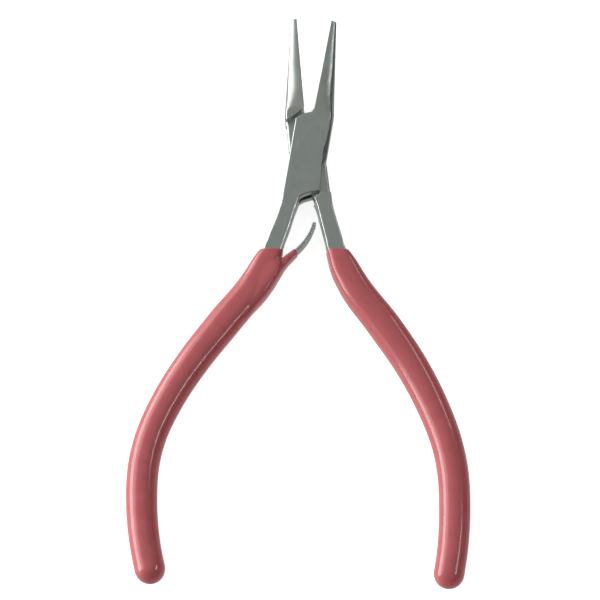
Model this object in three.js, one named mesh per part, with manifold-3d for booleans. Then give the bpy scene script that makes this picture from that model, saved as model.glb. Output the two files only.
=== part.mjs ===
// Round nose pliers with a box joint, a leaf spring and dipped vinyl grips.
//
// Frame: millimetres, +Z up. The pliers lie flat on z = 0. The origin is on the pivot axis, +Y points
// towards the jaw tips and +X to the side of the box half's jaw. Each half is drawn closed, with its jaw
// on the +x side of the centre plane and its handle on the -x side; the through half is the mirror image
// way round. The two halves are then turned apart about the pivot to the sprung-open position.

import * as THREE from 'three';
import { mergeVertices } from 'three/addons/utils/BufferGeometryUtils.js';
import Module from 'manifold-3d';

const wasm = await Module();
wasm.setup();

// ---- Driving dimensions -------------------------------------------------------------------------

const THICKNESS = 7.0;            // height of the joint and the grips above the table
const MIDDLE = THICKNESS / 2;     // parting plane of both forgings
const CHEEK = 2.25;               // thickness of each cheek of the box
const SLIDE = 0.1;                // running gap between the tongue and each cheek
const SIDE_GAP = 0.14;            // gap round the tongue in plan

const HALF_OPEN = THREE.MathUtils.degToRad(7.15);     // turn of each half from closed to sprung open
const EXTRA_OPEN = THREE.MathUtils.degToRad(6);       // further opening by hand
const SPLAY = THREE.MathUtils.degToRad(2.15);         // handles are set slightly unevenly

const JAW_TIP_Y = 33.1;
const JAW_ROOT_Y = 8.6;
const JAW_TIP_WIDTH = 1.35;
const JAW_FLARE_Y = 21;           // from here down the cone thickens into the joint faces
const JAW_GAP = 0.03;             // half the light left between the closed jaws

const RIVET_RADIUS = 1.9;
const HOLE_GAP = 0.05;            // radial clearance round the pivot rivet

const DIP_GAP = 0.08;             // kept between the vinyl and the handle
const SPRING_POCKET = 0.15;       // kept between the vinyl and the spring and its rivet
const MOUTH_Y = -26.1;            // edge of the dip where it crosses the centre plane
const MOUTH_TILT = THREE.MathUtils.degToRad(3);       // the dip's edge runs slightly uphill to +X

const SPRING_THICKNESS = 0.6;
const SPRING_WIDTH = 4.2;
const SPRING_SEAT_GAP = 0.12;      // between the spring and the handle it is riveted to
const SPRING_HEAD_GAP = 0.08;      // between the rivet's head and the spring
const SPRING_RIVET_Y = -39;
const SPRING_RIVET_RADIUS = 0.9;
const SPRING_RIVET_HEAD_RADIUS = 1.4;
const SPRING_RIVET_HEAD = 0.3;
const SPRING_RIVET_DEPTH = 3.2;   // how far the shank enters the handle

const JAW_OVERLAP = 0.4;          // the jaw is drawn this far into the joint block
const JAW_RINGS = 10;
const CORE_TAPER = 0.6;           // relative size of the last section of the steel core
const GRIP_END_TURNS = [0, 0.25, 0.5, 0.75, 0.94];    // the rounded end's sections, in quarter turns
const SWEEP_STEPS = 8;            // positions of the tongue that the box is cleared for

const HANDLE_SIDES = 16;
const JAW_SIDES = 20;
const GRIP_SIDES = 18;
const SPRING_SIDES = 8;
const PIVOT_SIDES = 48;
const SPRING_RIVET_SIDES = 24;
const SLEEVE_SIDES = 14;
const HANDLE_STEP = 4.2;          // spacing of the handle's sections
const SPRING_STEP = 1.6;          // and of the spring's
const FINE_STEP = 0.5;            // spacing of the points that a place beside the handle is looked up in
const OUTSIDE = 1;                // how far a cutting tool reaches past the surface it cuts

// The handle's centre line below the grip's mouth, shared by both halves before they are splayed.
const HANDLE = [
  [-7.6, -36], [-13.3, -46], [-18.6, -56], [-22.5, -65.5], [-25.1, -75],
  [-25.8, -83], [-24.9, -92.5], [-23.1, -101], [-20.2, -110.1],
];
const BOW_START = 50;             // distance below the pivot where the uneven bow of the handles starts
const BOW_END = 112;

// Pairs of y and size along a handle.
const CORE_WIDTH = [
  [-19.5, 3.8], [-26, 4.2], [-36, 4.9], [-41, 5.15], [-46, 5.9], [-58, 5.8], [-75, 5.4], [-103, 5.2],
];
const CORE_HEIGHT = [[-14, THICKNESS], [-26, 5.7], [-36, 5.2], [-103, 5.2]];
const CORE_SQUARENESS = [[-14, 7], [-26, 5], [-36, 2.8]];
const GRIP_WIDTH = [
  [-25.5, 4.8], [-28, 5.9], [-31, 6.9], [-36, 7.4], [-46, 7.9], [-58, 7.7], [-75, 7.3], [-90, 7.3],
  [-103, 7.1],
];
const GRIP_HEIGHT = [[-25.5, 6.3], [-28, 6.9], [-30, THICKNESS]];
const GRIP_SQUARENESS = 2.5;
const SLEEVE_SQUARENESS = 3;
const SPRING_SQUARENESS = 12;
const GRIP_END = 3.7;             // length of the rounded end
const CORE_END = 3.4;             // the steel's last full section is this far above the vinyl's end
const CORE_TIP = 1;               // and its tapered tip reaches this far past that section

const BOX = {
  side: 1,
  jawRootWidth: 5.05,
  tang: [[-1.8, -14], [-2.35, -19.5], [-3.5, -26]],
  splay: SPLAY,
  bow: 0.85,
  // Plan of the joint block: jaw root, outer side, cheek round the handle-side opening, crotch, tang,
  // cheek on the jaw-side opening.
  block: [
    [0.03, 9.0], [5.08, 9.0], [5.2, 2.0], [5.3, -3.6], [4.5, -4.4], [5.05, -11.1], [3.1, -11.8],
    [1.6, -12.65], [0.15, -13.7], [0.0, -15.5], [-3.75, -15.5], [-3.5, -11], [-3.5, -5], [-3.7, 5.9],
    [-2.0, 7.4], [-1.0, 7.85], [-0.3, 8.1],
  ],
};

const THROUGH = {
  side: -1,
  jawRootWidth: 4.6,
  tang: [[-2.85, -14], [-3.65, -19.5], [-5.1, -26]],
  splay: -SPLAY,
  bow: -0.85,
  // Plan of the jaw root, the tongue that passes through the box, and the tang.
  block: [
    [0.03, 9.3], [4.55, 9.3], [4.35, 4.5], [4.3, -0.5], [3.4, -4.0], [-0.2, -12.8], [-0.7, -15.5],
    [-4.9, -15.5], [-4.7, -11.0], [-4.5, -5.0], [-2.7, 4.0],
  ],
  // Plan of the recess that clears the cheeks, between the jaw's shoulder and the tang's shoulder.
  recess: [
    [7, 5.2], [4.45, 6.3], [2.95, 7.05], [0.84, 8.5], [0, 9.35], [-7, 9.8], [-7, -12.6], [-4.9, -12.55],
    [-3.0, -12.35], [-1.55, -13.05], [-0.4, -14.0], [2, -16], [7, -16],
  ],
};

// The free stretch of the leaf spring in the box half's closed plan, from the dip to its tip.
const SPRING_FREE = [[-0.1, -29.4], [1.7, -26.9], [3.5, -24.2], [4.6, -21.6], [5.3, -18.3]];
const SPRING_BASE_Y = [-43, -40, -37, -34.5];       // its seat beside the handle, from the buried end
const SLEEVE_MOUTH = [1.9, -26.3];                  // where the spring leaves the vinyl
const SLEEVE_WALL = [[-26.3, 0.35], [-30, 0.7], [-36, 0.85], [-41, 0.85], [-43, 0.6]];

// ---- Small tools --------------------------------------------------------------------------------

function rotated([x, y], angle) {
  const c = Math.cos(angle);
  const s = Math.sin(angle);
  return [x * c - y * s, x * s + y * c];
}

// The size at y from a list of [y, size] pairs that runs downwards.
function sizeAt(pairs, y) {
  if (y >= pairs[0][0]) return pairs[0][1];
  for (let i = 1; i < pairs.length; i += 1) {
    const [y0, a] = pairs[i - 1];
    const [y1, b] = pairs[i];
    if (y >= y1) return a + (b - a) * (y0 - y) / (y0 - y1);
  }
  return pairs[pairs.length - 1][1];
}

function signedVolume(position, index) {
  const a = new THREE.Vector3();
  const b = new THREE.Vector3();
  const c = new THREE.Vector3();
  let volume = 0;
  for (let i = 0; i < index.length; i += 3) {
    a.fromBufferAttribute(position, index[i]);
    b.fromBufferAttribute(position, index[i + 1]);
    c.fromBufferAttribute(position, index[i + 2]);
    volume += a.dot(b.cross(c)) / 6;
  }
  return volume;
}

function toSolid(geometry) {
  geometry.deleteAttribute('normal');
  geometry.deleteAttribute('uv');
  const merged = mergeVertices(geometry, 1e-5);
  const index = Uint32Array.from(merged.index.array);
  if (signedVolume(merged.attributes.position, index) < 0) {
    index.reverse();
  }
  const mesh = new wasm.Mesh({
    numProp: 3,
    vertProperties: Float32Array.from(merged.attributes.position.array),
    triVerts: index,
  });
  return new wasm.Manifold(mesh);
}

function toGeometry(solid) {
  const mesh = solid.getMesh();
  const geometry = new THREE.BufferGeometry();
  geometry.setAttribute('position', new THREE.BufferAttribute(Float32Array.from(mesh.vertProperties), 3));
  geometry.setIndex(new THREE.BufferAttribute(Uint32Array.from(mesh.triVerts), 1));
  geometry.computeVertexNormals();
  return geometry;
}

// A prism on the plan outline, from z = low to z = high.
function prism(outline, low, high) {
  const shape = new THREE.Shape(outline.map(([x, y]) => new THREE.Vector2(x, y)));
  const geometry = new THREE.ExtrudeGeometry(shape, { depth: high - low, bevelEnabled: false });
  return toSolid(geometry.translate(0, 0, low));
}

// An outline grown outwards by a distance, corner by corner.
function grown(outline, distance) {
  const area = THREE.ShapeUtils.area(outline.map(([x, y]) => new THREE.Vector2(x, y)));
  const way = Math.sign(area);
  return outline.map(([x, y], i) => {
    const [px, py] = outline[(i + outline.length - 1) % outline.length];
    const [nx, ny] = outline[(i + 1) % outline.length];
    const into = new THREE.Vector2(x - px, y - py).normalize();
    const out = new THREE.Vector2(nx - x, ny - y).normalize();
    const normal = new THREE.Vector2(into.y + out.y, -(into.x + out.x)).normalize();
    const reach = distance * way / (normal.x * into.y - normal.y * into.x);
    return [x + normal.x * reach, y + normal.y * reach];
  });
}

// A skin through sections that stand upright on a plan curve. Each section has a centre, a plan
// direction across the curve, a width, a height and a squareness (2 is an ellipse).
function loft(sections, sides) {
  const vertices = [];
  const index = [];
  for (const { centre, across, width, height, squareness } of sections) {
    for (let k = 0; k < sides; k += 1) {
      const angle = 2 * Math.PI * (k + 0.5) / sides;
      const u = Math.sign(Math.cos(angle)) * Math.abs(Math.cos(angle)) ** (2 / squareness) * width / 2;
      const v = Math.sign(Math.sin(angle)) * Math.abs(Math.sin(angle)) ** (2 / squareness) * height / 2;
      vertices.push(centre[0] + across[0] * u, centre[1] + across[1] * u, MIDDLE + v);
    }
  }
  for (let i = 1; i < sections.length; i += 1) {
    for (let k = 0; k < sides; k += 1) {
      const a = (i - 1) * sides + k;
      const b = (i - 1) * sides + (k + 1) % sides;
      index.push(a, b, b + sides, a, b + sides, a + sides);
    }
  }
  const last = (sections.length - 1) * sides;
  for (let k = 1; k < sides - 1; k += 1) {
    index.push(0, k + 1, k);
    index.push(last, last + k, last + k + 1);
  }
  const geometry = new THREE.BufferGeometry();
  geometry.setAttribute('position', new THREE.Float32BufferAttribute(vertices, 3));
  geometry.setIndex(index);
  return toSolid(geometry);
}

// Evenly spaced points of a smooth plan curve, each with the unit vector across it.
function stations(points, spacing) {
  const through = points.map(([x, y]) => new THREE.Vector3(x, y, 0));
  const curve = new THREE.CatmullRomCurve3(through, false, 'centripetal');
  const count = Math.ceil(curve.getLength() / spacing);
  return Array.from({ length: count + 1 }, (_, i) => {
    const at = curve.getPointAt(i / count);
    const along = curve.getTangentAt(i / count);
    return { centre: [at.x, at.y], across: [-along.y, along.x], along: [along.x, along.y] };
  });
}

// The point a distance along the curve from a station.
function moved({ centre, along }, distance) {
  return [centre[0] + along[0] * distance, centre[1] + along[1] * distance];
}

// Both halves share their shapes; the through half is drawn on the other side of the centre plane.
function onSide(half, outline) {
  return outline.map(([x, y]) => [x * half.side, y]);
}

function sectionOnSide(half, section) {
  const [x, y] = section.centre;
  const [ax, ay] = section.across;
  return { ...section, centre: [x * half.side, y], across: [ax * half.side, ay] };
}

// ---- The two steel halves -----------------------------------------------------------------------

function handleLine(half) {
  const lower = HANDLE.map(([x, y]) => {
    const t = THREE.MathUtils.clamp((-y - BOW_START) / (BOW_END - BOW_START), 0, 1);
    return rotated([x - half.bow * Math.sin(Math.PI * t), y], half.splay);
  });
  return [...half.tang, ...lower];
}

// The jaw is a cone that thickens and squares off into the flat faces of the joint.
function jaw(half) {
  const sections = Array.from({ length: JAW_RINGS + 1 }, (_, i) => {
    const y = JAW_TIP_Y + (JAW_ROOT_Y - JAW_OVERLAP - JAW_TIP_Y) * i / JAW_RINGS;
    const taper = (JAW_TIP_Y - y) / (JAW_TIP_Y - JAW_ROOT_Y);
    const width = JAW_TIP_WIDTH + (half.jawRootWidth - JAW_TIP_WIDTH) * taper;
    const flare = THREE.MathUtils.clamp((JAW_FLARE_Y - y) / (JAW_FLARE_Y - JAW_ROOT_Y), 0, 1);
    return {
      centre: [JAW_GAP + width / 2, y],
      across: [1, 0],
      width,
      height: Math.min(width + (THICKNESS - half.jawRootWidth) * flare ** 1.5, THICKNESS),
      squareness: 2 + 6 * flare ** 2,
    };
  });
  return loft(sections.map((section) => sectionOnSide(half, section)), JAW_SIDES);
}

// The tang and the core of the handle, down to the end inside the vinyl.
function handle(half, growth = 0) {
  const line = stations(handleLine(half), HANDLE_STEP);
  const end = line[line.length - 1].centre[1] + CORE_END;
  const kept = line.filter(({ centre }) => centre[1] > end);
  const sections = kept.map((station) => ({
    ...station,
    width: sizeAt(CORE_WIDTH, station.centre[1]) + 2 * growth,
    height: sizeAt(CORE_HEIGHT, station.centre[1]) + 2 * growth,
    squareness: sizeAt(CORE_SQUARENESS, station.centre[1]),
  }));
  const last = sections[sections.length - 1];
  sections.push({
    ...last,
    centre: moved(last, CORE_TIP + growth),
    width: last.width * CORE_TAPER,
    height: last.height * CORE_TAPER,
  });
  return loft(sections.map((section) => sectionOnSide(half, section)), HANDLE_SIDES);
}

function pin(radius, low, high) {
  const geometry = new THREE.CylinderGeometry(radius, radius, high - low, PIVOT_SIDES);
  return toSolid(geometry.rotateX(Math.PI / 2).translate(0, 0, (low + high) / 2));
}

function forging(half) {
  return prism(onSide(half, half.block), 0, THICKNESS).add(jaw(half)).add(handle(half));
}

// Everything the tongue passes over between closed and fully open, seen from the box half.
function tongueSweep() {
  const outline = grown(onSide(THROUGH, THROUGH.block), SIDE_GAP);
  let sweep = null;
  for (let i = 0; i <= SWEEP_STEPS; i += 1) {
    const angle = (2 * HALF_OPEN + EXTRA_OPEN) * i / SWEEP_STEPS;
    const placed = prism(outline.map((point) => rotated(point, angle)), CHEEK, THICKNESS - CHEEK);
    sweep = sweep ? sweep.add(placed) : placed;
  }
  return sweep;
}

function pivotHole() {
  return pin(RIVET_RADIUS + HOLE_GAP, -OUTSIDE, THICKNESS + OUTSIDE);
}

function boxHalf() {
  const drilled = forging(BOX).subtract(pivotHole());
  return drilled.subtract(tongueSweep()).subtract(springRivet(DIP_GAP));
}

function throughHalf() {
  const recess = onSide(THROUGH, THROUGH.recess);
  const above = prism(recess, THICKNESS - CHEEK - SLIDE, THICKNESS + OUTSIDE);
  const below = prism(recess, -OUTSIDE, CHEEK + SLIDE);
  return forging(THROUGH).subtract(above).subtract(below).subtract(pivotHole());
}

// ---- The leaf spring and its rivet --------------------------------------------------------------

// A point beside the box half's handle core, on the side that faces the other handle.
function besideCore(y, distance) {
  const away = (at) => Math.abs(at.centre[1] - y);
  const line = stations(handleLine(BOX), FINE_STEP);
  const near = line.reduce((best, at) => (away(at) < away(best) ? at : best));
  const reach = sizeAt(CORE_WIDTH, y) / 2 + distance;
  const sign = Math.sign(near.across[0]);
  const outward = [near.across[0] * sign, near.across[1] * sign];
  return { point: [near.centre[0] + outward[0] * reach, near.centre[1] + outward[1] * reach], outward };
}

function springLine() {
  const offset = SPRING_SEAT_GAP + SPRING_THICKNESS / 2;
  return [...SPRING_BASE_Y.map((y) => besideCore(y, offset).point), ...SPRING_FREE];
}

// The strip. A growth makes it larger all round and at its buried end, to cut its pocket.
function springStrip(growth = 0) {
  const line = stations(springLine(), SPRING_STEP);
  line[0].centre = moved(line[0], -growth);
  const sections = line.map((station) => ({
    ...station,
    width: SPRING_THICKNESS + 2 * growth,
    height: SPRING_WIDTH + 2 * growth,
    squareness: SPRING_SQUARENESS,
  }));
  return loft(sections, SPRING_SIDES);
}

// The rivet's axis lies in the table plane, square to the handle.
function springRivet(growth = 0) {
  const { point, outward } = besideCore(SPRING_RIVET_Y, 0);
  const under = SPRING_SEAT_GAP + SPRING_THICKNESS + SPRING_HEAD_GAP;
  const shankRadius = SPRING_RIVET_RADIUS + growth;
  const shankLength = SPRING_RIVET_DEPTH + under + growth;
  const shank = new THREE.CylinderGeometry(shankRadius, shankRadius, shankLength, SPRING_RIVET_SIDES);
  shank.translate(0, under - shankLength / 2, 0);
  const headRadius = SPRING_RIVET_HEAD_RADIUS + growth;
  const headHeight = SPRING_RIVET_HEAD + growth;
  const head = new THREE.CylinderGeometry(headRadius, headRadius, headHeight, SPRING_RIVET_SIDES);
  head.translate(0, under + headHeight / 2, 0);
  const turn = new THREE.Quaternion().setFromUnitVectors(
    new THREE.Vector3(0, 1, 0), new THREE.Vector3(outward[0], outward[1], 0),
  );
  const place = new THREE.Matrix4().compose(
    new THREE.Vector3(point[0], point[1], MIDDLE), turn, new THREE.Vector3(1, 1, 1),
  );
  return toSolid(shank.applyMatrix4(place)).add(toSolid(head.applyMatrix4(place)));
}

// ---- The dipped grips ---------------------------------------------------------------------------

// The outside of a grip, drawn a little past its mouth.
function gripSkin(half) {
  const line = stations(handleLine(half), HANDLE_STEP);
  const end = line[line.length - 1];
  const sections = line.filter(({ centre }) => centre[1] < MOUTH_Y + HANDLE_STEP).map((station) => ({
    ...station,
    width: sizeAt(GRIP_WIDTH, station.centre[1]),
    height: sizeAt(GRIP_HEIGHT, station.centre[1]),
    squareness: GRIP_SQUARENESS,
  }));
  const body = sections.slice(0, -1);
  for (const turn of GRIP_END_TURNS) {
    const back = GRIP_END * (1 - Math.sin(turn * Math.PI / 2));
    const size = Math.cos(turn * Math.PI / 2);
    body.push({
      ...end,
      centre: moved(end, -back),
      width: sizeAt(GRIP_WIDTH, end.centre[1]) * size,
      height: THICKNESS * size,
      squareness: GRIP_SQUARENESS,
    });
  }
  return loft(body.map((section) => sectionOnSide(half, section)), GRIP_SIDES);
}

// Everything above the edge of the dip, which crosses both handles in one line when they are sprung open.
function aboveMouth(half) {
  const reach = -MOUTH_Y;
  const rise = reach * Math.tan(MOUTH_TILT);
  const outline = [[-reach, MOUTH_Y - rise], [reach, MOUTH_Y + rise], [reach, 0], [-reach, 0]];
  const turned = outline.map((point) => rotated(point, HALF_OPEN * half.side));
  return prism(turned, -OUTSIDE, THICKNESS + OUTSIDE);
}

// The vinyl that bridges from the left handle to the leaf spring.
function springSleeve() {
  const sections = stations(springLine(), SPRING_STEP).filter(({ centre }) => centre[1] < SLEEVE_MOUTH[1])
    .map((station) => {
      const wall = sizeAt(SLEEVE_WALL, station.centre[1]);
      return {
        ...station,
        width: SPRING_THICKNESS + 2 * wall,
        height: SPRING_WIDTH + 2 * wall,
        squareness: SLEEVE_SQUARENESS,
      };
    });
  return loft(sections, SLEEVE_SIDES);
}

function leftGrip() {
  const skin = gripSkin(BOX).subtract(aboveMouth(BOX)).add(springSleeve());
  const pocket = springStrip(SPRING_POCKET).add(springRivet(SPRING_POCKET));
  return skin.subtract(handle(BOX, DIP_GAP)).subtract(pocket);
}

function rightGrip() {
  return gripSkin(THROUGH).subtract(aboveMouth(THROUGH)).subtract(handle(THROUGH, DIP_GAP));
}

// ---- Assembly -----------------------------------------------------------------------------------

const STEEL = { color: 0x9aa39f, roughness: 0.34, metalness: 1.0 };
const SPRING_STEEL = { color: 0x8c9290, roughness: 0.3, metalness: 1.0 };
const VINYL = { color: 0xa8323c, roughness: 0.22, metalness: 0.0 };

function named(name, solid, finish) {
  const mesh = new THREE.Mesh(toGeometry(solid), new THREE.MeshStandardMaterial(finish));
  mesh.name = name;
  return mesh;
}

const pliers = new THREE.Group();

const boxSide = new THREE.Group();
boxSide.rotation.z = -HALF_OPEN;
boxSide.add(
  named('box_half', boxHalf(), STEEL),
  named('pivot_rivet', pin(RIVET_RADIUS, 0, THICKNESS), STEEL),
  named('leaf_spring', springStrip().subtract(springRivet(DIP_GAP)), SPRING_STEEL),
  named('spring_rivet', springRivet(), SPRING_STEEL),
  named('grip_left', leftGrip(), VINYL),
);

const throughSide = new THREE.Group();
throughSide.rotation.z = HALF_OPEN;
throughSide.add(
  named('through_half', throughHalf(), STEEL),
  named('grip_right', rightGrip(), VINYL),
);

pliers.add(boxSide, throughSide);

export default pliers;
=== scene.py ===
"""Round nose pliers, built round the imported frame.

Lengths are in millimetres until a mesh is made, and metres from there on. Steel and vinyl are skinned from
signed distance fields (negative inside). A half is drawn in its closed frame: its jaw on the +x side of the
centre plane and its handle on the -x side. The through half is mirrored in x, and both are then turned
apart to the sprung-open position.
"""
import math

import bpy
import numpy as np
from mathutils import Matrix, Vector


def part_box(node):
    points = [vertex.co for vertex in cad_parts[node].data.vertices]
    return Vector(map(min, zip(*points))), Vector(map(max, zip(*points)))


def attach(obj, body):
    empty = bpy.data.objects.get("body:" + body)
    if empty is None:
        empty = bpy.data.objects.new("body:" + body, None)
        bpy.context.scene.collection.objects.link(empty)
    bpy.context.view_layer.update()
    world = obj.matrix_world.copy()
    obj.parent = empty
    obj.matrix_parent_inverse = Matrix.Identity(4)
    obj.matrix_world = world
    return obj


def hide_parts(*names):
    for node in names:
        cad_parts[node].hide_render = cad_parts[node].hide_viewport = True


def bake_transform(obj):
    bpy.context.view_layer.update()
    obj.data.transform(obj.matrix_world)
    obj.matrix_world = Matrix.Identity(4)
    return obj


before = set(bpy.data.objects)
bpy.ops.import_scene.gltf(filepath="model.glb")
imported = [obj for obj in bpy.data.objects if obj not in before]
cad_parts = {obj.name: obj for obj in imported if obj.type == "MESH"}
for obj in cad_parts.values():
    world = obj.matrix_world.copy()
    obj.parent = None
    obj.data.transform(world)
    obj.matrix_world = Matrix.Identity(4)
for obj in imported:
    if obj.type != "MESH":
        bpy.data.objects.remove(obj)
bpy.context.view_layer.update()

MM = 0.001

# ---- Driving dimensions, in millimetres ---------------------------------------------------------

THICKNESS = (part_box("pivot_rivet")[1].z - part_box("pivot_rivet")[0].z) / MM
MIDDLE = THICKNESS / 2
CHEEK = 2.25                     # thickness of each cheek of the box
TONGUE = MIDDLE - CHEEK - 0.1    # half the tongue's thickness
SLOT_GAP = 0.14                  # round the tongue in plan
HALF_OPEN = math.radians(7.15)
EXTRA_OPEN = math.radians(6)
SPLAY = math.radians(2.15)
BOW_START, BOW_END = 50, 112

TIP_Y, ROOT_Y = 33.1, 8.6
TIP_WIDTH = 1.35
FLARE_Y = 21                     # below this the jaw grows taller than the cone of its tip
FLARE = THICKNESS + 0.4          # how tall it would be at its root, where the cheeks cut it off
JAW_BELOW_ROOT = 3               # how far the jaw runs on into the joint block
JAW_FACE_EDGE, JAW_END_EDGE = 0.15, 0.25

HOLE = 1.95
RIVET = 1.9
RIVET_HEAD = 2.25

EDGE = 0.12                      # rounding of the ground faces' edges
# The line between the outer edge's chamfer and the inner one's: x at the pivot, and dx per dy.
CHAMFER_SPLIT_X, CHAMFER_SPLIT_LEAN = -0.25, 0.125
JAW_JOIN = 0.12                  # rounding where the jaw runs into the joint block
LOFT = (-12.4, -16.8)            # between these the block turns into the tang
CUT_EDGE = 0.12                  # rounding of milled edges
TONGUE_EDGE = 0.7                # rounding of the tongue's outer edges
TONGUE_EDGE_FROM = 2.6           # height above the middle where that rounding begins
SWEEP_STEPS = 24                 # positions of the tongue that the slot is cut for
SLOT_REACH = 17                  # the slot lies within this of the pivot along y

MOUTH_Y = -26.1
MOUTH_TILT = math.radians(3)
GRIP_END = 3.7
MOUTH_EDGE = 0.35                # rounding of the vinyl's mouth
CORE_END = 3.4
CORE_START = 3                   # how far the tang's line runs on above its first point
CORE_ROUND = (-27, -30)          # between these the flat tang turns into a rounded handle
CORE_SQUARENESS = 2.8
FIT = -0.05                      # the vinyl grips the steel a little

SPRING_THICKNESS = 0.75
SPRING_WIDTH = 4.2
SPRING_SEAT = 0.12
SPRING_EDGE = 0.18               # rounding of the strip's long edges
SPRING_TIP = 0.6                 # length of its rounded tip
SPRING_TIP_LOW, SPRING_TIP_THIN = 0.15, 0.35
SPRING_STEP = 0.2

STEEL_STEP = 0.16                # spacing of the grid that the steel is skinned on
VINYL_STEP = 0.25
HIDDEN_STEP = 1.0                # along the handle inside the vinyl
HIDDEN_Y = -31                   # where that begins
GRID_MARGIN = 0.4                # the grid stands out this far round what it skins
STEEL_BESIDE, VINYL_BESIDE = 4, 5  # and this far beside a handle's line
STEEL_RIGHT, VINYL_RIGHT = 6.2, 4.5
VINYL_TOP = -23.5

HANDLE = [
    (-7.6, -36), (-13.3, -46), (-18.6, -56), (-22.5, -65.5), (-25.1, -75),
    (-25.8, -83), (-24.9, -92.5), (-23.1, -101), (-20.2, -110.1),
]

# Pairs of y and size along a handle.
CORE_WIDTH = [
    (-17, 3.9), (-20.5, 4.05), (-26.4, 4.3), (-36, 4.9), (-41, 5.15), (-46, 5.9), (-58, 5.8), (-75, 5.4),
    (-103, 5.2),
]
CORE_HEIGHT = [(-14, 7.0), (-26, 5.7), (-36, 5.2), (-103, 5.2)]
GRIP_WIDTH = [
    (-25, 4.5), (-27, 5.1), (-29, 6.1), (-31, 6.8), (-36, 7.4), (-46, 7.9), (-58, 7.7), (-75, 7.3),
    (-90, 7.3), (-103, 7.1),
]
GRIP_HEIGHT = [(-25.5, 6.2), (-28, 6.9), (-30, 7.0)]
GRIP_SQUARENESS = [(-26, 4.2), (-34, 2.8), (-60, 2.15)]
TANG_BULGE = 0.2                 # the tang's sides stand out this much at half height
TANG_SLOPE = math.radians(25)    # of the narrow ground facets along the tang's edges

# Each half in its closed frame. Widths, chamfers and squareness are pairs of y and value. The tang is
# its centre line, and tang_edge is the width of its top facets, inner and outer.
BOX = {
    "side": 1,
    "jaw_face": 0.19,
    "root_width": 4.95,
    "squareness": [(33, 2.2), (24, 2.3), (17, 2.6), (13, 3.2), (10.5, 4.2), (8, 6)],
    "tang": [(-1.15, -13), (-1.65, -16.5), (-2.2, -20.45), (-2.8, -23.6), (-3.19, -26.2)],
    "tang_edge": (0.5, 0.12),
    "splay": SPLAY,
    "bow": 0.85,
    "block": [
        (0.03, 9.0), (5.08, 9.0), (5.2, 2.0), (5.28, -2.8), (4.6, -5.2), (5.05, -11.1), (3.1, -11.8),
        (1.6, -12.65), (0.75, -13.5), (0.45, -15.5), (0.11, -18), (-3.83, -18), (-3.43, -15.5),
        (-3.45, -11), (-3.5, -5), (-3.7, 5.9), (-2.0, 7.4), (-1.0, 7.85), (-0.3, 8.1),
    ],
    # Widths of the chamfers along the top face's outer and inner edges.
    "outer_chamfer": [
        (10, 1.0), (7.7, 0.95), (4.75, 0.6), (1.6, 0.8), (-1.3, 1.2), (-2.8, 0.95), (-5.4, 0.2), (-7, 0.15),
        (-12.5, 0.12), (-14, 0.35), (-16, 0.35),
    ],
    "inner_chamfer": [(6.4, 0.02), (5.5, 0.14), (-15, 0.14)],
}

THROUGH = {
    "side": -1,
    "jaw_face": -0.11,
    "root_width": 4.65,
    "squareness": [(33, 2.2), (20, 2.5), (15, 2.9), (13.2, 3.5), (11.4, 4.6), (10, 6), (8.5, 9), (7, 12)],
    "tang": [(-2.85, -13), (-3.35, -16.4), (-4.05, -20.3), (-4.7, -23.6), (-5.15, -26.2)],
    "tang_edge": (0.25, 0.35),
    "splay": -SPLAY,
    "bow": -0.85,
    "block": [
        (0.03, 9.3), (4.45, 9.3), (4.35, 4.5), (4.3, -0.5), (3.4, -4.0), (-0.5, -12.8), (-1.2, -15.5),
        (-1.67, -18), (-5.61, -18), (-5.13, -15.5), (-4.8, -11.0), (-4.5, -5.0), (-2.7, 4.0),
    ],
    "recess": [
        (7, 5.2), (4.45, 6.3), (2.95, 7.05), (0.84, 8.5), (0, 9.35), (-7, 9.8), (-7, -12.6), (-4.9, -12.55),
        (-3.0, -12.35), (-1.55, -13.05), (-0.4, -14.0), (2, -16), (7, -16),
    ],
    "outer_chamfer": [(9.3, 0.75), (8.4, 0.55), (6.4, 0.2), (5, 0.05), (-15, 0.05)],
    "inner_chamfer": [(8, 0.05), (-11, 0.05), (-15, 0.2)],
}

SPRING_FREE = [(-0.1, -29.4), (1.7, -26.9), (3.5, -24.2), (4.6, -21.6), (5.3, -18.3)]
SPRING_BASE_Y = [-43, -40, -37, -34.5]
SLEEVE_MOUTH_Y = -26.3
SLEEVE_WALL = [(-26.3, 0.35), (-30, 0.7), (-36, 0.85), (-39, 0.6), (-43, 0.1)]
SLEEVE_SQUARENESS = 3
SLEEVE_EDGE = 0.3
# Radius of the fillet where the sleeve runs into the grip, and how far that may stand above the grip.
SLEEVE_FILLET = [(-28.5, 0.3), (-31.5, 1.8), (-34.5, 1.8), (-42.5, 0.3)]
CREST, CREST_EDGE = 0.08, 0.2

RIVET_CROWN = 0.006              # height of the head's dome
RIVET_PROUD = 0.002              # of its rim, so that it shows on the ground cheek
RIVET_SINK = 0.25                # depth of the head
RIVET_RIM = 0.02
RIVET_SIDES = 96

# ---- Looks --------------------------------------------------------------------------------------

STEEL = (0.60, 0.63, 0.615)
STRIP_DARK, STRIP_LIGHT = (0.44, 0.46, 0.45), (0.56, 0.58, 0.56)
VINYL_DARK, VINYL_LIGHT = (0.49, 0.100, 0.110), (0.54, 0.115, 0.124)
PAPER_DARK, PAPER_LIGHT = (0.9, 0.9, 0.9), (0.93, 0.93, 0.93)
NOISE_LOW, NOISE_HIGH = 0.3, 0.7  # most of a noise's values lie between these

# Degrees from straight up, round to the right, and brightness.
SURROUNDINGS = [
    (-180, 0.4), (-130, 0.55), (-92, 0.8), (-40, 0.45), (0, 0.33), (34, 0.24), (60, 0.06), (90, 0.06),
    (108, 0.35), (180, 0.45),
]
SURROUNDINGS_TINT = (0.96, 1.03, 1.0)
# The studio darkens towards the front: from and to along y, and the strengths there.
FRONT_FADE = {"From Min": -0.95, "From Max": -0.35, "To Min": 0.2, "To Max": 1.0}

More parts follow.
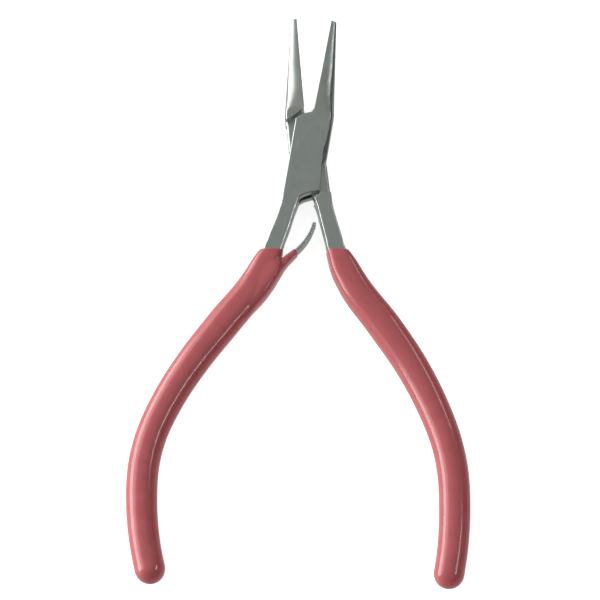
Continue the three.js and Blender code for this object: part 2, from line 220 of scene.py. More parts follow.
# In metres: place, size along y and across, and power in watts.
LAMPS = {
    "softbox_left": ((-0.6, 0.2, 0.46), (1.2, 0.4), 2.6),
    "window_left": ((-0.83, 0.12, 0.2), (1.1, 0.42), 6.5),
    "strip_front": ((0.56, -0.09, 0.56), (0.36, 0.06), 0.6),
    "strip_back": ((0.5, 0.41, 0.5), (0.22, 0.1), 0.3),
}
LAMP_AIM = Vector((0, -0.03, 0))

CAMERA_TILT = math.radians(17)   # from straight above, towards the handles
CAMERA_ROLL = math.radians(3.07)
CAMERA_DISTANCE = 0.8
CAMERA_TARGET = Vector((0.000425, -0.037972, MIDDLE * MM))
CAMERA_SENSOR = 36
CAMERA_LENS = 203.6
FLOOR_SIZE, FLOOR_DROP = 6, 0.00005


# ---- Distance fields ----------------------------------------------------------------------------

def table(pairs, at, soften=0.0):
    """The size at each place from (place, size) pairs, with its corners softened over a length."""
    places, sizes = np.array(sorted(pairs), float).T
    if not soften:
        return np.interp(at, places, sizes)
    return sum(np.interp(at + soften * k, places, sizes) for k in (-1, -0.5, 0, 0.5, 1)) / 5


def between(limits, y):
    """How far y has gone from the first limit down to the second, from 0 to 1."""
    return np.clip((limits[0] - y) / (limits[0] - limits[1]), 0, 1)


def rounded_max(a, b, radius):
    """The larger of two fields, with the edge between them rounded: what both shapes share."""
    return np.maximum(a, b) + np.maximum(radius - np.abs(a - b), 0) ** 2 / (4 * radius)


def rounded_min(a, b, radius):
    """The smaller of two fields, with the corner between them filled: the two shapes together."""
    return -rounded_max(-a, -b, radius)


def turned(points, angle):
    c, s = math.cos(angle), math.sin(angle)
    return [(x * c - y * s, x * s + y * c) for x, y in points]


def outline_distance(x, y, outline):
    """Signed distance in plan to a closed outline."""
    nearest, inside = np.inf, False
    for (ax, ay), (bx, by) in zip(outline, outline[1:] + outline[:1]):
        ex, ey = bx - ax, by - ay
        px, py = x - ax, y - ay
        t = np.clip((px * ex + py * ey) / (ex * ex + ey * ey), 0, 1)
        nearest = np.minimum(nearest, (px - t * ex) ** 2 + (py - t * ey) ** 2)
        if ey:
            inside = inside ^ (((ay > y) != (by > y)) & (x < ax + py * ex / ey))
    return np.where(inside, -1, 1) * np.sqrt(nearest)


class Rail:
    """A smooth plan curve through points, which says how far along it and beside it a place is."""

    def __init__(self, points, spacing=0.1):
        p = np.array(points, float)
        p = np.vstack([2 * p[0] - p[1], p, 2 * p[-1] - p[-2]])
        dense = []
        for p0, p1, p2, p3 in zip(p, p[1:], p[2:], p[3:]):
            k0, k1, k2 = (max(np.hypot(*(b - a)), 1e-6) ** 0.5 for a, b in ((p0, p1), (p1, p2), (p2, p3)))
            m1 = (p1 - p0) / k0 - (p2 - p0) / (k0 + k1) + (p2 - p1) / k1
            m2 = (p2 - p1) / k1 - (p3 - p1) / (k1 + k2) + (p3 - p2) / k2
            t = np.linspace(0, 1, 40, endpoint=False)[:, None]
            m1, m2 = m1 * k1, m2 * k1
            dense.append(
                p1 + m1 * t + (3 * (p2 - p1) - 2 * m1 - m2) * t**2 + (2 * (p1 - p2) + m1 + m2) * t**3
            )
        dense = np.vstack([*dense, p[-2:-1]])
        along = np.r_[0, np.cumsum(np.hypot(*np.diff(dense, axis=0).T))]
        self.length = along[-1]
        self.s = np.linspace(0, self.length, int(self.length / spacing) + 1)
        self.x, self.y = (np.interp(self.s, along, dense[:, k]) for k in (0, 1))
        dx, dy = np.gradient(self.x, self.s), np.gradient(self.y, self.s)
        size = np.hypot(dx, dy)
        self.dx, self.dy = dx / size, dy / size

    def at(self, s):
        """Point and direction at a distance along the curve."""
        return [np.interp(s, self.s, value) for value in (self.x, self.y, self.dx, self.dy)]

    def locate(self, x, y):
        """Distance along the curve, which runs on past both ends, distance to its left, and y there."""
        s = np.interp(-y, -self.y, self.s) + 0 * x
        for _ in range(8):
            cx, cy, dx, dy = self.at(s)
            s = np.clip(s, 0, self.length) + (x - cx) * dx + (y - cy) * dy
        cx, cy, dx, dy = self.at(s)
        return s, (y - cy) * dx - (x - cx) * dy, cy


def superellipse(u, v, a, b, power):
    """Roughly the signed distance to a superellipse with half widths a and b."""
    size = ((np.abs(u) / a) ** power + (np.abs(v) / b) ** power) ** (1 / power)
    return (size - 1) * np.minimum(a, b)


# ---- The steel halves ---------------------------------------------------------------------------

def handle_rail(half):
    """The centre line of a half's tang and handle: the shared line, bowed and splayed."""
    lower = []
    for x, y in HANDLE:
        t = min(max((-y - BOW_START) / (BOW_END - BOW_START), 0), 1)
        lower += turned([(x - half["bow"] * math.sin(math.pi * t), y)], half["splay"])
    return Rail(half["tang"] + lower)


def jaw(half, x, y, v):
    """Half a cone: flat on the inside, round outside and ever squarer towards the root."""
    width = TIP_WIDTH + (half["root_width"] - TIP_WIDTH) * (TIP_Y - y) / (TIP_Y - ROOT_Y)
    width = np.minimum(width, half["root_width"])
    flare = between((FLARE_Y, ROOT_Y), y)
    height = (width + (FLARE - half["root_width"]) * flare**1.5) / 2
    across = x - half["jaw_face"]
    power = table(half["squareness"], y, 0.8)
    size = ((np.maximum(across, 0) / width) ** power + (v / height) ** power) ** (1 / power)
    solid = rounded_max((size - 1) * np.minimum(width, height), -across, JAW_FACE_EDGE)
    ends = np.maximum(y - TIP_Y, ROOT_Y - JAW_BELOW_ROOT - y)
    return rounded_max(solid, ends, JAW_END_EDGE)


def core(half, growth=0.0):
    """The tang and the handle inside the vinyl."""
    rail = half["rail"]
    end = rail.length - CORE_END

    def field(x, y, v):
        s, u, cy = rail.locate(x, y)
        a = table(CORE_WIDTH, cy, 1.5) / 2 + growth
        b = table(CORE_HEIGHT, cy, 1.5) / 2 + growth
        bulged = np.abs(u) - a + TANG_BULGE * np.minimum(v / b, 1.2) ** 2
        top = v - np.minimum(b, MIDDLE)
        facet = np.where(u > 0, *half["tang_edge"])
        edge = (bulged + facet) * math.sin(TANG_SLOPE) + top * math.cos(TANG_SLOPE)
        blocky = rounded_max(bulged, edge, EDGE)
        soft = between(CORE_ROUND, cy)
        smooth = superellipse(u, v, a, b, CORE_SQUARENESS)
        ends = np.maximum(s - end - growth, -s - CORE_START)
        return np.maximum(blocky * (1 - soft) + smooth * soft, ends)

    return field


def forging(half):
    """Jaw, joint block, tang and handle core as one body, before the box and the recesses are cut."""
    handle = core(half)

    def field(x, y, v):
        outer = table(half["outer_chamfer"], y, 0.4)
        inner = table(half["inner_chamfer"], y, 0.4)
        share = np.clip(x - CHAMFER_SPLIT_X - y * CHAMFER_SPLIT_LEAN, 0, 1)
        sides = outline_distance(x, y, half["block"])
        edge = (sides + v - MIDDLE + outer * share + inner * (1 - share)) / math.sqrt(2)
        block = rounded_max(sides, edge, EDGE)
        body = rounded_min(block, jaw(half, x, y, v), JAW_JOIN)
        loft = between(LOFT, y)
        loft = loft * loft * (3 - 2 * loft)
        body = body * (1 - loft) + handle(x, y, v) * loft
        return rounded_max(body, v - table(CORE_HEIGHT, y, 1.5) / 2, EDGE)

    return field


def box_field():
    """The tongue passes through a slot that is clear of it from closed to fully open."""
    body = forging(BOX)
    tongue = [(-x, y) for x, y in THROUGH["block"]]
    travel = 2 * HALF_OPEN + EXTRA_OPEN
    sweep = [turned(tongue, travel * k / SWEEP_STEPS) for k in range(SWEEP_STEPS + 1)]

    def field(x, y, z):
        v = np.abs(z - MIDDLE)
        solid = np.maximum(body(x, y, v), HOLE - np.hypot(x, y))
        x, y, v = (np.broadcast_to(part, solid.shape) for part in (x, y, v))
        near = (v < MIDDLE - CHEEK + 2 * CUT_EDGE) & (np.abs(y) < SLOT_REACH)
        plan = [outline_distance(x[near], y[near], outline) for outline in sweep]
        slot = np.maximum(np.minimum.reduce(plan) - SLOT_GAP, v[near] - MIDDLE + CHEEK)
        solid[near] = rounded_max(solid[near], -slot, CUT_EDGE)
        return solid

    return field


def through_field():
    """Recesses above and below leave the tongue between the two shoulders."""
    body = forging(THROUGH)

    def field(x, y, z):
        v = np.abs(z - MIDDLE)
        recess = np.maximum(outline_distance(x, y, THROUGH["recess"]), TONGUE - v)
        hole = np.hypot(x, y) - HOLE
        edge = CUT_EDGE + (TONGUE_EDGE - CUT_EDGE) * np.clip(TONGUE_EDGE_FROM - v, 0, 1)
        return np.maximum(rounded_max(body(x, y, v), -recess, edge), -hole)

    return field


# ---- The vinyl grips ----------------------------------------------------------------------------

def spring_rail():
    """The leaf spring's line: beside the handle as far as its foot, then free."""
    rail = BOX["rail"]
    seated = []
    for y in SPRING_BASE_Y:
        s = np.interp(-y, -rail.y, rail.s)
        cx, cy, dx, dy = rail.at(s)
        reach = table(CORE_WIDTH, y) / 2 + SPRING_SEAT + SPRING_THICKNESS / 2
        seated.append((cx - dy * reach, cy + dx * reach))
    return Rail(seated + SPRING_FREE)


def above_mouth(half, x, y):
    """Signed distance past the edge of the dip, which crosses both open handles in one line."""
    angle = -HALF_OPEN * half["side"]
    row_x = x * half["side"] * math.cos(angle) - y * math.sin(angle)
    row_y = x * half["side"] * math.sin(angle) + y * math.cos(angle)
    return (row_y - MOUTH_Y - row_x * math.tan(MOUTH_TILT)) * math.cos(MOUTH_TILT)


def dip(half, x, y, v):
    rail = half["rail"]
    s, u, cy = rail.locate(x, y)
    a = table(GRIP_WIDTH, cy, 0.9) / 2
    b = table(GRIP_HEIGHT, cy, 1.0) / 2
    power = table(GRIP_SQUARENESS, cy, 3.0)
    size = ((np.abs(u) / a) ** power + (v / b) ** power) ** (1 / power)
    past = np.maximum(s - rail.length + GRIP_END, 0) / GRIP_END
    return (np.hypot(size, past) - 1) * np.minimum(a, b)


def core_space(half):
    """The room that the steel takes up in the vinyl."""
    handle = core(half, FIT)
    return lambda x, y, v: np.maximum(handle(x, y, v), v - table(CORE_HEIGHT, y, 1.5) / 2 - FIT)


def right_grip_field():
    """A plain dip."""
    inside = core_space(THROUGH)

    def field(x, y, z):
        v = np.abs(z - MIDDLE)
        body = rounded_max(dip(THROUGH, x, y, v), above_mouth(THROUGH, x, y), MOUTH_EDGE)
        return np.maximum(body, -inside(x, y, v))

    return field


def left_grip_field():
    """The dip also wraps the foot of the spring, in a sleeve that runs into the grip's side."""
    inside = core_space(BOX)
    rail = BOX["spring"]

    def field(x, y, z):
        v = np.abs(z - MIDDLE)
        body = rounded_max(dip(BOX, x, y, v), above_mouth(BOX, x, y), MOUTH_EDGE)
        s, u, cy = rail.locate(x, y)
        wall = table(SLEEVE_WALL, cy, 1.0)
        a, b = SPRING_THICKNESS / 2, SPRING_WIDTH / 2
        sleeve = superellipse(u, v, a + wall, b + wall, SLEEVE_SQUARENESS)
        sleeve = np.maximum(sleeve, -s)
        mouth = cy - SLEEVE_MOUTH_Y + np.maximum(s - rail.length, 0)
        sleeve = rounded_max(sleeve, mouth, SLEEVE_EDGE)
        pocket = np.maximum(np.abs(u) - a - FIT, v - b - FIT)
        pocket = np.maximum(pocket, -s)
        whole = rounded_min(body, sleeve, table(SLEEVE_FILLET, cy))
        whole = rounded_max(whole, v - MIDDLE - CREST, CREST_EDGE)
        return np.maximum(whole, -np.minimum(inside(x, y, v), pocket))

    return field


# ---- Meshes -------------------------------------------------------------------------------------

TINY = 1e-9
LEAST_STEEP = 0.05
CORNERS = [(i, j, k) for i in (0, 1) for j in (0, 1) for k in (0, 1)]


def span(low, high, step):
    """Evenly spaced places, at most a step apart."""
    return np.linspace(low, high, int(math.ceil((high - low) / step)) + 1)


def gradient(field, p, reach=0.01):
    """The field's slope along x, y and z at each point."""
    columns = []
    for k in range(3):
        offset = np.zeros(3)
        offset[k] = reach
        columns.append((field(*(p + offset).T) - field(*(p - offset).T)) / (2 * reach))
    return np.stack(columns, axis=1)


def unit(vectors):
    return vectors / np.maximum(np.linalg.norm(vectors, axis=1, keepdims=True), TINY)


def fitted(middles, crossings, hold=0.04):
    """The place in each cell nearest to the planes through its crossings, so that edges come out straight."""
    matrix = np.zeros((len(middles), 3, 3)) + hold * np.eye(3)
    push = np.zeros((len(middles), 3))
    for rows, place, slope in crossings:
        matrix[rows] += slope[:, :, None] * slope[:, None, :]
        push[rows] += slope * ((place - middles[rows]) * slope).sum(axis=1, keepdims=True)
    return middles + np.linalg.solve(matrix, push[:, :, None])[:, :, 0]


def edge_crossings(field, axes, values, cells):
    """Where the surface crosses the cells' edges, in steps: which cells, the places and the slopes there."""
    inside = values < 0
    found = []
    for a in CORNERS:
        for axis in range(3):
            if a[axis]:
                continue
            b = tuple(c + (k == axis) for k, c in enumerate(a))
            ia, ib = cells + a, cells + b
            rows = np.flatnonzero(inside[tuple(ia.T)] != inside[tuple(ib.T)])
            ia, ib = ia[rows], ib[rows]
            va, vb = values[tuple(ia.T)], values[tuple(ib.T)]
            pa, pb = (np.stack([axes[k][i[:, k]] for k in range(3)], axis=1) for i in (ia, ib))
            place = pa + (va / (va - vb))[:, None] * (pb - pa)
            found.append((rows, place, unit(gradient(field, place))))
    return found


def cell_points(axes, cells, crossings):
    """One point of the surface in each cell."""
    total, hits = np.zeros((len(cells), 3)), np.zeros((len(cells), 1))
    for rows, place, _ in crossings:
        total[rows] += place
        hits[rows] += 1
    points = fitted(total / hits, crossings)
    low, high = (np.stack([axes[k][cells[:, k] + end] for k in range(3)], axis=1) for end in (0, 1))
    return np.clip(points, low, high)


def cell_faces(inside, number):
    """A four-sided face round every grid edge that the surface crosses."""
    faces = []
    for axis in range(3):
        u, w = (axis + 1) % 3, (axis + 2) % 3
        low, high = [slice(1, -1)] * 3, [slice(1, -1)] * 3
        low[axis], high[axis] = slice(0, -1), slice(1, None)
        a, b = inside[tuple(low)], inside[tuple(high)]
        crossing = np.argwhere(a != b)
        leaving = a[tuple(crossing.T)]
        base = crossing.copy()
        base[:, u] += 1
        base[:, w] += 1
        ring = []
        for du, dw in ((-1, -1), (0, -1), (0, 0), (-1, 0)):
            at = base.copy()
            at[:, u] += du
            at[:, w] += dw
            ring.append(number[tuple(at.T)])
        quads = np.stack(ring, axis=1)
        faces.append(np.where(leaving[:, None], quads, quads[:, ::-1]))
    return np.vstack(faces)


def settled(field, points, limit):
    """The points moved onto the surface, by no more than the limit each time."""
    for _ in range(2):
        slope = gradient(field, points)
        steep = np.maximum((slope**2).sum(axis=1), LEAST_STEEP)[:, None]
        step = slope * field(*points.T)[:, None] / steep
        far = np.linalg.norm(step, axis=1, keepdims=True)
        points = points - step * np.minimum(1, limit / np.maximum(far, TINY))
    return points


def net(field, xs, ys, zs):
    """The surface where a field crosses zero on a grid: points, faces and the normals at the points."""
    axes = (xs, ys, zs)
    values = field(xs[:, None, None], ys[None, :, None], zs[None, None, :])
    values = np.broadcast_to(values, tuple(map(len, axes)))
    inside = values < 0
    nx, ny, nz = (len(a) - 1 for a in axes)
    full = sum(inside[i:i + nx, j:j + ny, k:k + nz].astype(np.int8) for i, j, k in CORNERS)
    cells = np.argwhere((full > 0) & (full < len(CORNERS)))
    number = np.full((nx, ny, nz), -1, np.int64)
    number[tuple(cells.T)] = np.arange(len(cells))
    points = cell_points(axes, cells, edge_crossings(field, axes, values, cells))
    points = settled(field, points, np.diff(zs).max() / 4)
    return points, cell_faces(inside, number), unit(gradient(field, points))


def to_row(half, points):
    """From a half's closed frame to the row frame, in millimetres."""
    angle = -HALF_OPEN * half["side"]
    x = points[:, 0] * half["side"]
    y = points[:, 1]
    c, s = math.cos(angle), math.sin(angle)
    return np.stack([x * c - y * s, x * s + y * c, points[:, 2]], axis=1)


def added(name, data):
    obj = bpy.data.objects.new(name, data)
    bpy.context.scene.collection.objects.link(obj)
    return obj


def mesh_object(name, points, faces, normals):
    """An object from points in millimetres, faces that all have four corners, and the points' normals."""
    mesh = bpy.data.meshes.new(name)
    mesh.vertices.add(len(points))
    mesh.vertices.foreach_set("co", (points * MM).astype(np.float32).ravel())
    mesh.loops.add(faces.size)
    mesh.loops.foreach_set("vertex_index", faces.astype(np.int32).ravel())
    mesh.polygons.add(len(faces))
    mesh.polygons.foreach_set("loop_start", np.arange(0, faces.size, faces.shape[1], dtype=np.int32))
    mesh.update(calc_edges=True)
    mesh.validate()
    mesh.polygons.foreach_set("use_smooth", np.ones(len(mesh.polygons), bool))
    mesh.normals_split_custom_set_from_vertices(normals.tolist())
    return added(name, mesh)


def skinned(name, half, field, xs, ys, zs):
    """A field's surface as an object in the row frame. Mirroring turns the faces over again."""
    points, faces, normals = net(field, xs, ys, zs)
    if half["side"] < 0:
        faces = faces[:, ::-1]
    return mesh_object(name, to_row(half, points), faces, to_row(half, normals))


def steel_half(name, half, field):
    rail = half["rail"]
    hidden = span(rail.y.min() - 1, HIDDEN_Y, HIDDEN_STEP)[:-1]
    xs = span(rail.x.min() - STEEL_BESIDE, STEEL_RIGHT, STEEL_STEP)
    ys = np.r_[hidden, span(HIDDEN_Y, TIP_Y + GRID_MARGIN, STEEL_STEP)]
    zs = span(-GRID_MARGIN, THICKNESS + GRID_MARGIN, STEEL_STEP)
    return skinned(name, half, field, xs, ys, zs)


def grip(name, half, field):
    rail = half["rail"]
    xs = span(rail.x.min() - VINYL_BESIDE, VINYL_RIGHT, VINYL_STEP)
    ys = span(rail.y.min() - 1, VINYL_TOP, VINYL_STEP)
    zs = span(-GRID_MARGIN, THICKNESS + GRID_MARGIN, VINYL_STEP)
    return skinned(name, half, field, xs, ys, zs)


def strip_section(corner_steps=5):
    """The strip's rounded section: places across and up, and the normals there."""
    a, b = SPRING_THICKNESS / 2 - SPRING_EDGE, SPRING_WIDTH / 2 - SPRING_EDGE
    section = []
    for qu, qv, start in ((1, 1, 0), (-1, 1, 90), (-1, -1, 180), (1, -1, 270)):
        for k in range(corner_steps):
            angle = math.radians(start + 90 * k / (corner_steps - 1))
            cos, sin = math.cos(angle), math.sin(angle)
            section.append((qu * a + SPRING_EDGE * cos, qv * b + SPRING_EDGE * sin, cos, sin))
    return section


def leaf_spring():
    """A strip with rounded edges and a rounded tip, swept along its line."""
    rail = BOX["spring"]
    section = strip_section()
    sides = len(section)
    count = int(rail.length / SPRING_STEP)
    stations = np.linspace(0, rail.length, count)
    points, normals = [], []
    for s in stations:
        cx, cy, dx, dy = rail.at(s)
        past = max(s - rail.length + SPRING_TIP, 0) / SPRING_TIP
        high = math.sqrt(max(1 - past**2, SPRING_TIP_LOW))
        thick = 1 - SPRING_TIP_THIN * past**3
        for u, w, cos, sin in section:
            points.append((cx - dy * u * thick, cy + dx * u * thick, MIDDLE + w * high))
            normals.append((-dy * cos, dx * cos, sin))
    faces = []
    for i in range(count - 1):
        for k in range(sides):
            j = (k + 1) % sides
            faces.append((i * sides + k, i * sides + j, (i + 1) * sides + j, (i + 1) * sides + k))
    for ring, way in ((0, -1), (count - 1, 1)):
        _, _, dx, dy = rail.at(stations[ring])
        first = len(points)
        points += points[ring * sides:(ring + 1) * sides]
        normals += [(way * dx, way * dy, 0)] * sides
        for k in range(sides // 2 - 1):
            face = (first + k, first + k + 1, first + sides - 2 - k, first + sides - 1 - k)
            faces.append(face[::way])
    return mesh_object("spring_leaf", to_row(BOX, np.array(points)), np.array(faces),
                       to_row(BOX, np.array(normals)))


def rivet_profile():
    """Radius and height down the rivet's side, from the middle of its upper face to that of its lower."""
    profile = []
    for share in (0, 0.15, 0.3, 0.45, 0.6, 0.75, 0.9, 0.97, 0.995, 1):
        profile.append((RIVET_HEAD * share, THICKNESS + RIVET_CROWN * (1 - share**2) + RIVET_PROUD))
    profile += [(RIVET_HEAD, THICKNESS - RIVET_RIM), (RIVET, THICKNESS - RIVET_SINK), (RIVET, MIDDLE)]
    return profile + [(r, THICKNESS - z) for r, z in reversed(profile[:-1])]


def pivot_rivet():
    """A ground rivet: a shaft with a thin, very slightly domed head flush with each cheek."""
    profile = rivet_profile()
    rings = profile[1:-1]
    points = [(0, 0, profile[0][1]), (0, 0, profile[-1][1])]
    for r, z in rings:
        for k in range(RIVET_SIDES):
            angle = 2 * math.pi * k / RIVET_SIDES
            points.append((r * math.cos(angle), r * math.sin(angle), z))
    last = 2 + (len(rings) - 1) * RIVET_SIDES
    faces = []
    for k in range(RIVET_SIDES):
        j = (k + 1) % RIVET_SIDES
        faces.append((0, 2 + k, 2 + j))
        faces.append((1, last + j, last + k))
        for i in range(len(rings) - 1):
            a, b = 2 + i * RIVET_SIDES, 2 + (i + 1) * RIVET_SIDES
            faces.append((a + k, b + k, b + j, a + j))
    mesh = bpy.data.meshes.new("rivet_pivot")
    mesh.from_pydata([(x * MM, y * MM, z * MM) for x, y, z in points], [], faces)
    mesh.polygons.foreach_set("use_smooth", np.ones(len(mesh.polygons), bool))
    return added("rivet_pivot", mesh)


# ---- Materials ----------------------------------------------------------------------------------

class Nodes:
    """A node material in the making."""

    def __init__(self, name):
        self.material = bpy.data.materials.new(name)
        self.material.use_nodes = True
        self.tree = self.material.node_tree
        self.shader = self.tree.nodes["Principled BSDF"]

    def add(self, kind, inputs=None, **settings):
        node = self.tree.nodes.new(kind)
        for key, value in settings.items():
            setattr(node, key, value)
        for key, value in (inputs or {}).items():
            if isinstance(value, bpy.types.NodeSocket):
                self.tree.links.new(value, node.inputs[key])
            else:
                node.inputs[key].default_value = value
        return node

    def place(self, stretch=(1, 1, 1), angle=0.0):
        """Places on the object in metres, turned about z and then stretched."""
        coords = self.add("ShaderNodeTexCoord")
        turn = self.add("ShaderNodeMapping", {"Vector": coords.outputs["Object"], "Rotation": (0, 0, angle)})
        return self.add("ShaderNodeMapping", {"Vector": turn.outputs[0], "Scale": stretch}).outputs[0]

    def noise(self, vector, scale, detail=3.0, roughness=0.5):
        inputs = {"Vector": vector, "Scale": scale, "Detail": detail, "Roughness": roughness}
        return self.add("ShaderNodeTexNoise", inputs).outputs["Fac"]

    def range(self, value, to_low=0.0, to_high=1.0, low=NOISE_LOW, high=NOISE_HIGH):
        """Maps a noise's values onto to_low..to_high."""
        inputs = {"Value": value, "From Min": low, "From Max": high, "To Min": to_low, "To Max": to_high}
        return self.add("ShaderNodeMapRange", inputs).outputs[0]

    def ramp(self, value, first, last):
        """Maps a noise's values onto the colours from first to last."""
        node = self.add("ShaderNodeValToRGB", {"Fac": self.range(value)})
        for element, colour in zip(node.color_ramp.elements, (first, last)):
            element.color = (*colour, 1)
        return node.outputs["Color"]

    def bump(self, height, depth, normal=None):
        """A bump whose height runs from 0 to depth metres."""
        inputs = {"Height": height, "Distance": depth, "Strength": 1.0}
        if normal is not None:
            inputs["Normal"] = normal
        return self.add("ShaderNodeBump", inputs).outputs[0]

    def set(self, **values):
        for key, value in values.items():
            socket = self.shader.inputs[key.replace("_", " ")]
            if isinstance(value, bpy.types.NodeSocket):
                self.tree.links.new(value, socket)
            else:
                socket.default_value = value
        return self.material


def ground_steel(name, angle):
    """Forged steel, ground lengthwise and lightly polished: fine streaks, a mottle and faint stains."""
    m = Nodes(name)
    streaks = m.noise(m.place((3200, 90, 1600), angle), 1.0, 4.0, 0.65)
    mottle = m.noise(m.place(angle=angle), 420, 4.0, 0.6)
    clouds = m.noise(m.place(angle=angle), 90, 2.0, 0.5)
    dark = tuple(c * 0.86 for c in STEEL)
    light = tuple(min(c * 1.1, 1) for c in STEEL)
    warm = tuple(c * share for c, share in zip(STEEL, (1.03, 0.99, 0.95)))
    base = m.ramp(clouds, STEEL, warm)
    grain = m.ramp(streaks, dark, light)
    colour = m.add("ShaderNodeMix", data_type="RGBA", blend_type="MULTIPLY")
    colour.inputs["Factor"].default_value = 0.35
    m.tree.links.new(base, colour.inputs["A"])
    m.tree.links.new(grain, colour.inputs["B"])
    rough = m.range(mottle, 0.27, 0.36)
    fine = m.bump(streaks, 0.000004)
    normal = m.bump(mottle, 0.000006, fine)
    return m.set(Base_Color=colour.outputs["Result"], Metallic=1.0, Roughness=rough, Normal=normal)


def spring_steel():
    """Rolled strip: darker than the forgings, with fine lines along it."""
    m = Nodes("spring_strip")
    lines = m.noise(m.place((1800, 1800, 9000)), 1.0, 3.0, 0.6)
    mottle = m.noise(m.place(), 600, 3.0, 0.5)
    colour = m.ramp(lines, STRIP_DARK, STRIP_LIGHT)
    rough = m.range(mottle, 0.24, 0.34)
    normal = m.bump(lines, 0.000003)
    return m.set(Base_Color=colour, Metallic=1.0, Roughness=rough, Normal=normal)


def red_vinyl():
    """Glossy dipped vinyl: an uneven, slowly rippled skin with a slightly cloudy colour."""
    m = Nodes("dipped_vinyl")
    ripple = m.noise(m.place(), 110, 1.5, 0.4)
    swirl = m.noise(m.place(), 320, 3.0, 0.5)
    speck = m.noise(m.place(), 5200, 2.0, 0.6)
    colour = m.ramp(swirl, VINYL_DARK, VINYL_LIGHT)
    rough = m.range(speck, 0.16, 0.24, 0.35, 0.75)
    slow = m.bump(ripple, 0.0001)
    normal = m.bump(speck, 0.0000015, slow)
    m.set(Base_Color=colour, Roughness=rough, Normal=normal, IOR=1.52)
    return m.set(Coat_Weight=0.35, Coat_Roughness=0.08)


def floor_material():
    """White paper, a little self-lit so that it burns out as in the photo."""
    m = Nodes("floor_paper")
    grain = m.noise(m.place(), 900, 3.0, 0.5)
    colour = m.ramp(grain, PAPER_DARK, PAPER_LIGHT)
    return m.set(Base_Color=colour, Roughness=0.9, Emission_Color=(1, 1, 1, 1), Emission_Strength=0.8)


# ---- The pieces ---------------------------------------------------------------------------------

BOX["rail"] = handle_rail(BOX)
THROUGH["rail"] = handle_rail(THROUGH)
BOX["spring"] = spring_rail()


def placed(obj, material, body, node):
    obj.data.materials.append(material)
    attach(obj, body)
    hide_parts(node)


def spring_placed(strip):
    """The leaf spring, curved from its foot in the sleeve to where it stands free, fixed in the row frame."""
    leaf = leaf_spring()
    leaf.data.materials.append(strip)
    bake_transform(leaf)
    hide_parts("leaf_spring")


vinyl = red_vinyl()
box_steel = ground_steel("steel_box", HALF_OPEN)
through_steel = ground_steel("steel_through", -HALF_OPEN)
rivet_steel = ground_steel("steel_rivet", 0.6)
strip = spring_steel()
placed(steel_half("half_box", BOX, box_field()), box_steel, "box_side", "box_half")
placed(steel_half("half_through", THROUGH, through_field()), through_steel, "through_side", "through_half")
placed(pivot_rivet(), rivet_steel, "box_side", "pivot_rivet")
placed(grip("vinyl_left", BOX, left_grip_field()), vinyl, "box_side", "grip_left")
placed(grip("vinyl_right", THROUGH, right_grip_field()), vinyl, "through_side", "grip_right")
spring_placed(strip)

rivet_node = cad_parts["spring_rivet"]
rivet_node.data.materials.clear()
rivet_node.data.materials.append(strip)


# ---- Stage, light and camera --------------------------------------------------------------------

def floor():
    """Glossy rays don't see the floor, so that the steel reflects the studio."""
    bpy.ops.mesh.primitive_plane_add(size=FLOOR_SIZE)
    obj = bpy.context.active_object
    obj.name = "floor"
    obj.location.z = -FLOOR_DROP
    obj.data.materials.append(floor_material())
    obj.visible_glossy = False


def lamp(name, place, size, power):
    light = bpy.data.lights.new(name, "AREA")
    light.shape = "RECTANGLE"
    light.size, light.size_y = size
    light.energy = power
    obj = added(name, light)
    obj.location = place
    obj.rotation_mode = "QUATERNION"
    obj.rotation_quaternion = (LAMP_AIM - Vector(place)).to_track_quat("-Z", "Y")


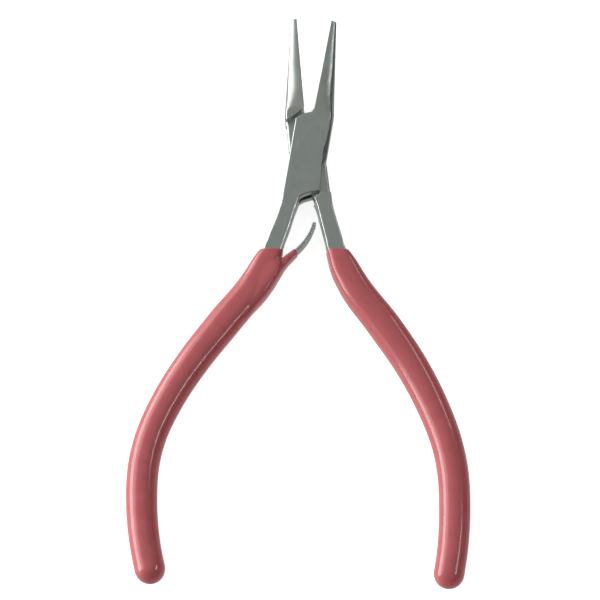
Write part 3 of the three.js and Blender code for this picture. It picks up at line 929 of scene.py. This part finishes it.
def surroundings():
    """Studio surroundings by direction round the y axis: grey overhead, dim to the right and in front."""
    world = bpy.data.worlds.new("studio")
    world.use_nodes = True
    tree = world.node_tree
    background = tree.nodes["Background"]
    coords = tree.nodes.new("ShaderNodeTexCoord")
    parts = tree.nodes.new("ShaderNodeSeparateXYZ")
    turn = tree.nodes.new("ShaderNodeMath")
    turn.operation = "ARCTAN2"
    spread = tree.nodes.new("ShaderNodeMapRange")
    spread.inputs["From Min"].default_value = -math.pi
    spread.inputs["From Max"].default_value = math.pi
    ramp = tree.nodes.new("ShaderNodeValToRGB")
    front = tree.nodes.new("ShaderNodeMapRange")
    for socket, value in FRONT_FADE.items():
        front.inputs[socket].default_value = value
    tree.links.new(coords.outputs["Generated"], parts.inputs[0])
    tree.links.new(parts.outputs["X"], turn.inputs[0])
    tree.links.new(parts.outputs["Z"], turn.inputs[1])
    tree.links.new(turn.outputs[0], spread.inputs["Value"])
    tree.links.new(spread.outputs[0], ramp.inputs["Fac"])
    tree.links.new(ramp.outputs["Color"], background.inputs["Color"])
    tree.links.new(parts.outputs["Y"], front.inputs["Value"])
    tree.links.new(front.outputs[0], background.inputs["Strength"])
    stops = ramp.color_ramp.elements
    while len(stops) < len(SURROUNDINGS):
        stops.new(1.0)
    for stop, (angle, level) in zip(stops, SURROUNDINGS):
        stop.position = angle / 360 + 0.5
        stop.color = (*(level * t for t in SURROUNDINGS_TINT), 1)
    bpy.context.scene.world = world


def camera():
    forward = Vector((0, math.sin(CAMERA_TILT), -math.cos(CAMERA_TILT)))
    level, rise = Vector((1, 0, 0)), Vector((0, math.cos(CAMERA_TILT), math.sin(CAMERA_TILT)))
    right = level * math.cos(CAMERA_ROLL) + rise * math.sin(CAMERA_ROLL)
    up = rise * math.cos(CAMERA_ROLL) - level * math.sin(CAMERA_ROLL)
    data = bpy.data.cameras.new("camera")
    data.sensor_width = CAMERA_SENSOR
    data.lens = CAMERA_LENS
    obj = added("camera", data)
    turn = Matrix((right, up, -forward)).transposed().to_4x4()
    obj.matrix_world = Matrix.Translation(CAMERA_TARGET - forward * CAMERA_DISTANCE) @ turn
    bpy.context.scene.camera = obj


floor()
surroundings()
for lamp_name, (lamp_place, lamp_size, lamp_power) in LAMPS.items():
    lamp(lamp_name, lamp_place, lamp_size, lamp_power)
camera()
bpy.context.scene.view_settings.view_transform = "Standard"
